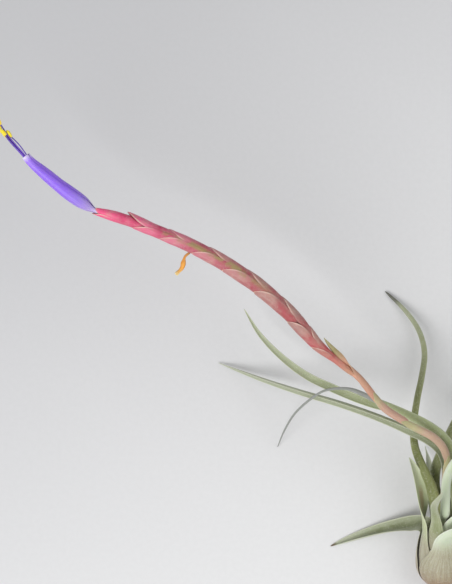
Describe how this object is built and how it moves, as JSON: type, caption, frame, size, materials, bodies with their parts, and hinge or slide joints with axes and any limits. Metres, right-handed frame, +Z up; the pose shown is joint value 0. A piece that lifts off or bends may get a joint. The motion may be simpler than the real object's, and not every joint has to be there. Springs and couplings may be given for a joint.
{
  "type": "air plant",
  "caption": "Whole air plant in flower lying on its side: bulb of nested sheaths, narrow channelled leaves, long bracted scape, pink spike and a violet tube flower.",
  "frame": {"origin": "the flat spot under the bulb, where the plant rests on the surface", "axes": "+Z up from the surface, +Y along the bulb from its base towards its neck, +X to the right, away from the flower spike"},
  "size_m": [0.2175, 0.167, 0.0525],
  "materials": {
    "leaf": "matt grey-green under a silvery scurf",
    "scape": "satin, salmon to beige",
    "scape_bract": "satin, salmon at the foot and olive green at the tip",
    "floral_bract": "satin, rose pink to salmon with grey scurf",
    "petal": "soft satin violet, pale lilac at the foot",
    "filament": "satin dark violet",
    "anther": "dusty yellow pollen",
    "withered_stamen": "dry orange",
    "stem": "matt dark brown"
  },
  "bodies": {
    "root": {"leaf_arching": "leaf", "leaf_front": "leaf", "leaf_long_low": "leaf", "leaf_right_long": "leaf", "leaf_tall": "leaf", "leaf_long_high": "leaf", "leaf_right_raised": "leaf", "leaf_crossing": "leaf", "leaf_right_low": "leaf", "leaf_upright": "leaf", "leaf_behind": "leaf", "leaf_right_short": "leaf", "leaf_left_short": "leaf", "leaf_right_floor": "leaf", "leaf_reflexed": "leaf", "leaf_left_floor": "leaf", "stem": "stem", "scape": "scape", "scape_bract_1": "scape_bract", "scape_bract_2": "scape_bract", "scape_bract_3": "scape_bract", "scape_bract_4": "scape_bract", "floral_bract_01": "floral_bract", "floral_bract_02": "floral_bract", "floral_bract_03": "floral_bract", "floral_bract_04": "floral_bract", "floral_bract_05": "floral_bract", "floral_bract_06": "floral_bract", "floral_bract_07": "floral_bract", "floral_bract_08": "floral_bract", "floral_bract_09": "floral_bract", "floral_bract_10": "floral_bract", "floral_bract_11": "floral_bract", "floral_bract_12": "floral_bract", "floral_bract_13": "floral_bract", "floral_bract_14": "floral_bract", "floral_bract_15": "floral_bract", "petal_1": "petal", "petal_2": "petal", "petal_3": "petal", "filaments": "filament", "style": "filament", "anther_1": "anther", "anther_2": "anther", "anther_3": "anther", "anther_4": "anther", "anther_5": "anther", "anther_6": "anther", "withered_stamen": "withered_stamen"}
  },
  "joints": []
}
